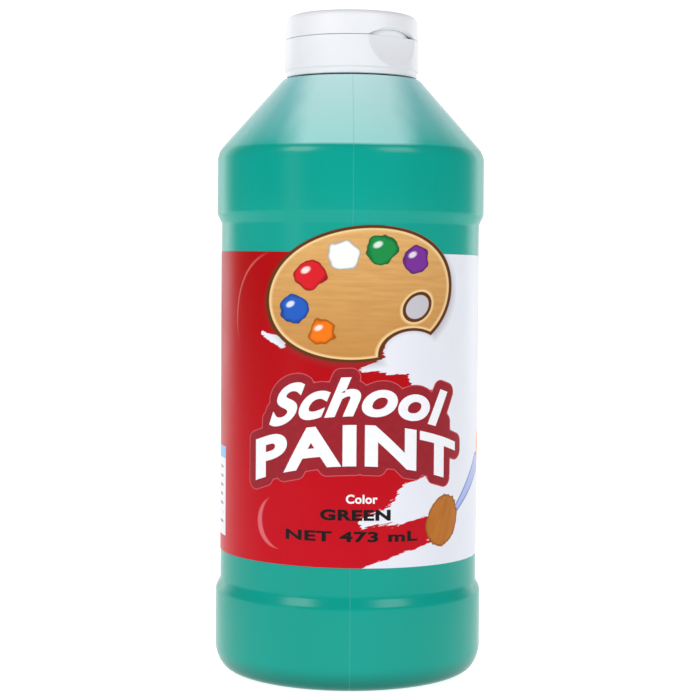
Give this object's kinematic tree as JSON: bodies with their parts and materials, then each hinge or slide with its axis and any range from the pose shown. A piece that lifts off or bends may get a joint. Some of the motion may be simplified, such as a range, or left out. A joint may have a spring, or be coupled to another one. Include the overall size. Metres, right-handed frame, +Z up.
{
  "type": "paint squeeze bottle",
  "caption": "Round plastic squeeze bottle of green poster paint with bumper bands, a sloping shoulder, a wrap label and a white screw-on flip-top cap.",
  "frame": {"origin": "centre of the standing plane under the bottle", "axes": "+Z up along the bottle's axis, -Y towards the label's front"},
  "size_m": [0.0708, 0.0708, 0.1732],
  "materials": {
    "bottle_plastic": "blow-moulded natural polyethylene, satin, coloured by the green paint behind it",
    "green_paint": "liquid tempera paint",
    "label_film": "printed pressure-sensitive film, satin",
    "seal_foil": "thin bright foil",
    "liner_foam": "pressed foam ring, matt",
    "cap_plastic": "injection-moulded white polypropylene, satin"
  },
  "bodies": {
    "bottle": {"bottle": "bottle_plastic", "paint": "green_paint", "label": "label_film", "foil_seal": "seal_foil"},
    "liner": {"cap_liner": "liner_foam"},
    "cap": {"cap_base": "cap_plastic", "hinge_film_left": "cap_plastic", "hinge_film_right": "cap_plastic", "snap_strap": "cap_plastic"},
    "lid": {"flip_lid": "cap_plastic"}
  },
  "joints": [
    {"name": "cap_rise", "type": "slide", "parent": "bottle", "child": "liner", "axis": [0, 0, 1], "range_m": [0, 0.0106]},
    {"name": "cap_turn", "type": "hinge", "parent": "liner", "child": "cap", "pos_m": [0, 0, 0.16], "axis": [0, 0, 1], "range_deg": [0, 900]},
    {"name": "lid_flip", "type": "hinge", "parent": "cap", "child": "lid", "pos_m": [-0.01181, 0.01358, 0.1667], "axis": [-0.7547, -0.6561, 0], "range_deg": [0, 150], "deforming": ["hinge_film_left", "hinge_film_right", "snap_strap"]}
  ],
  "couplings": [
    {"joint": "cap_rise", "follows": "cap_turn", "m_per_rad": 0.0006737}
  ]
}
